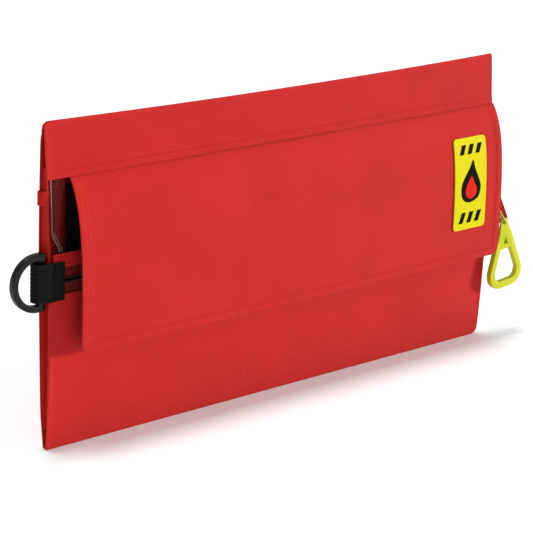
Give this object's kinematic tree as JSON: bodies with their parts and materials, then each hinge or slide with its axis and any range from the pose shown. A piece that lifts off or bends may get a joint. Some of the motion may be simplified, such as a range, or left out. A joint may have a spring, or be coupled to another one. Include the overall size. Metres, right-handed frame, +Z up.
{
  "type": "fire blanket pouch",
  "caption": "Red cloth fire blanket pouch standing upright, with a window, a zip under a weather flap, a lime pull loop and a D-ring.",
  "frame": {"origin": "middle of the underside, on the floor plane, at mid width and between the front and the back at the base", "axes": "+X along the width towards the zip pull, -Y is the front with the flap, +Z up"},
  "size_m": [0.4606, 0.0307, 0.216],
  "materials": {
    "red_cloth": "fine plain weave, matte",
    "red_lining": "plain woven lining, matte",
    "clear_film": "clear flexible film, glossy",
    "zip_tape": "woven tape",
    "black_nylon": "nylon coil",
    "dark_metal": "dark coated die casting",
    "lime_cord": "braided cord",
    "lime_plastic": "soft moulded, satin",
    "black_webbing": "ribbed webbing",
    "black_plastic": "moulded, slight gloss",
    "hook_tape": "hook and loop tape",
    "yellow_label": "printed label",
    "black_felt": "thick matte felt"
  },
  "bodies": {
    "pouch": {"back_panel": "red_cloth", "lower_front_panel": "red_cloth", "window_rail": "red_cloth", "top_band": "red_cloth", "left_gusset": "red_cloth", "right_gusset": "red_cloth", "base_strip": "red_cloth", "window_film": "clear_film", "zip_tape_lower": "zip_tape", "zip_tape_upper": "zip_tape", "zip_coil_lower": "black_nylon", "zip_coil_upper": "black_nylon", "zip_stop_left": "dark_metal", "zip_stop_right": "dark_metal", "panel_loop_strip": "hook_tape", "webbing_loop": "black_webbing", "side_tab": "red_cloth", "zip_end_tab": "red_cloth", "folded_blanket": "black_felt"},
    "flap": {"flap_outer": "red_cloth", "flap_lining": "red_lining", "flap_hook_strip": "hook_tape", "label_patch": "yellow_label"},
    "slider": {"slider_body": "dark_metal", "slider_bail": "dark_metal"},
    "link": {"puller_link": "lime_cord"},
    "pull": {"pull_loop": "lime_plastic"},
    "ring": {"d_ring": "black_plastic"}
  },
  "joints": [
    {"name": "flap_hinge", "type": "hinge", "parent": "pouch", "child": "flap", "pos_m": [0, -0.00536, 0.1789], "axis": [-1, 0, 0], "range_deg": [0, 140]},
    {"name": "slider_run", "type": "slide", "parent": "pouch", "child": "slider", "axis": [1, 0, 0], "range_m": [-0.37, 0]},
    {"name": "link_swing", "type": "hinge", "parent": "slider", "child": "link", "pos_m": [0.195, -0.01382, 0.1136], "axis": [0, 1, 0], "range_deg": [-10, 75]},
    {"name": "pull_swing", "type": "hinge", "parent": "link", "child": "pull", "pos_m": [0.21417, -0.01382, 0.0876], "axis": [0, 1, 0], "range_deg": [-45, 15]},
    {"name": "ring_swing", "type": "hinge", "parent": "pouch", "child": "ring", "pos_m": [-0.2032, -0.004, 0.114], "axis": [0, 0, 1], "range_deg": [-85, 85]}
  ]
}
